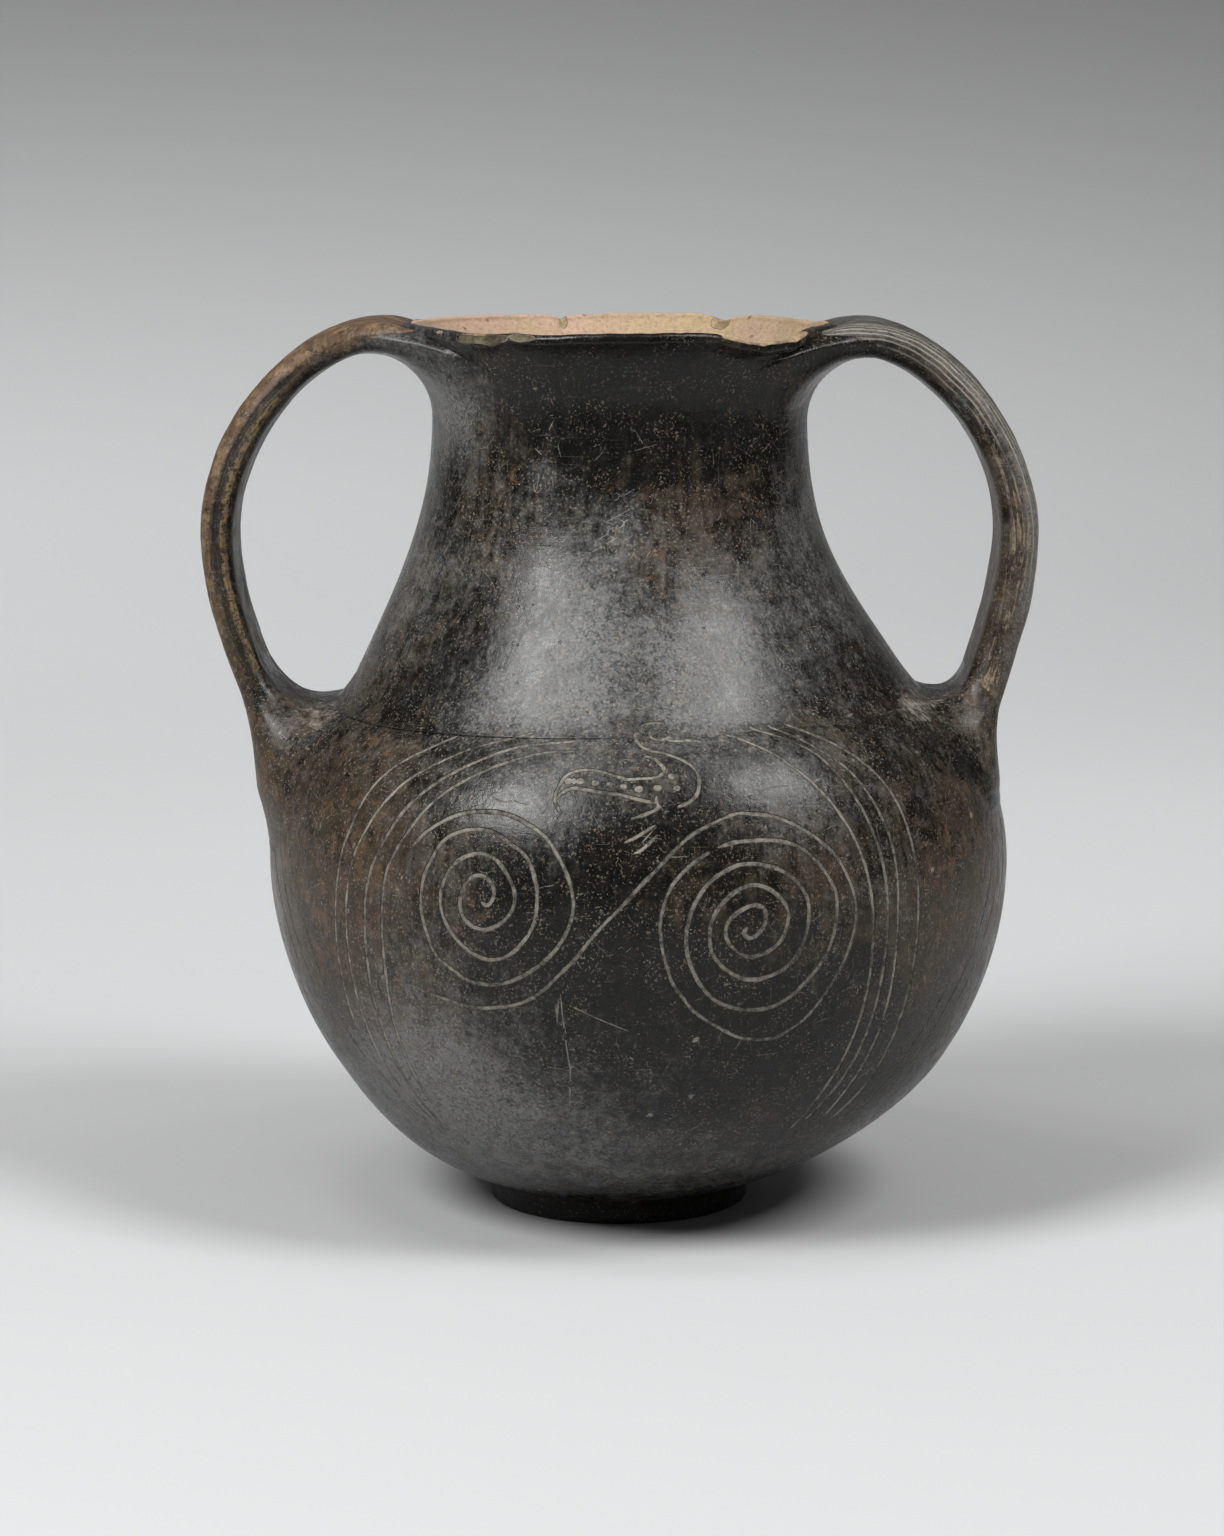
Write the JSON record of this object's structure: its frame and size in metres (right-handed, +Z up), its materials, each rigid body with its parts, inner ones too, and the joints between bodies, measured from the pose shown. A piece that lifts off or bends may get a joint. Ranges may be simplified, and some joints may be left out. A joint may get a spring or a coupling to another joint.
{
  "type": "pottery amphora",
  "caption": "Free-standing amphora of dark burnished clay: globular belly on a low disc foot, tall flaring neck with a turned-out lip, and strap handles from lip to shoulder.",
  "frame": {"origin": "middle of the foot's resting face, which is also the middle of the underside of the bounding box", "axes": "+Z up along the vessel, X through both handles, +Y to the back; the pictured face looks along -Y"},
  "size_m": [0.141, 0.1258, 0.1516],
  "materials": {
    "burnished_clay": "burnished, satin, with incised lines",
    "handle_clay": "burnished, worn brown on the ribs",
    "luting_clay": "smeared, dull"
  },
  "bodies": {
    "root": {"foot": "burnished_clay", "belly": "burnished_clay", "neck": "burnished_clay", "left_handle": "handle_clay", "right_handle": "handle_clay", "left_rim_web": "luting_clay", "right_rim_web": "luting_clay", "left_root_pad": "luting_clay", "right_root_pad": "luting_clay"}
  },
  "joints": []
}
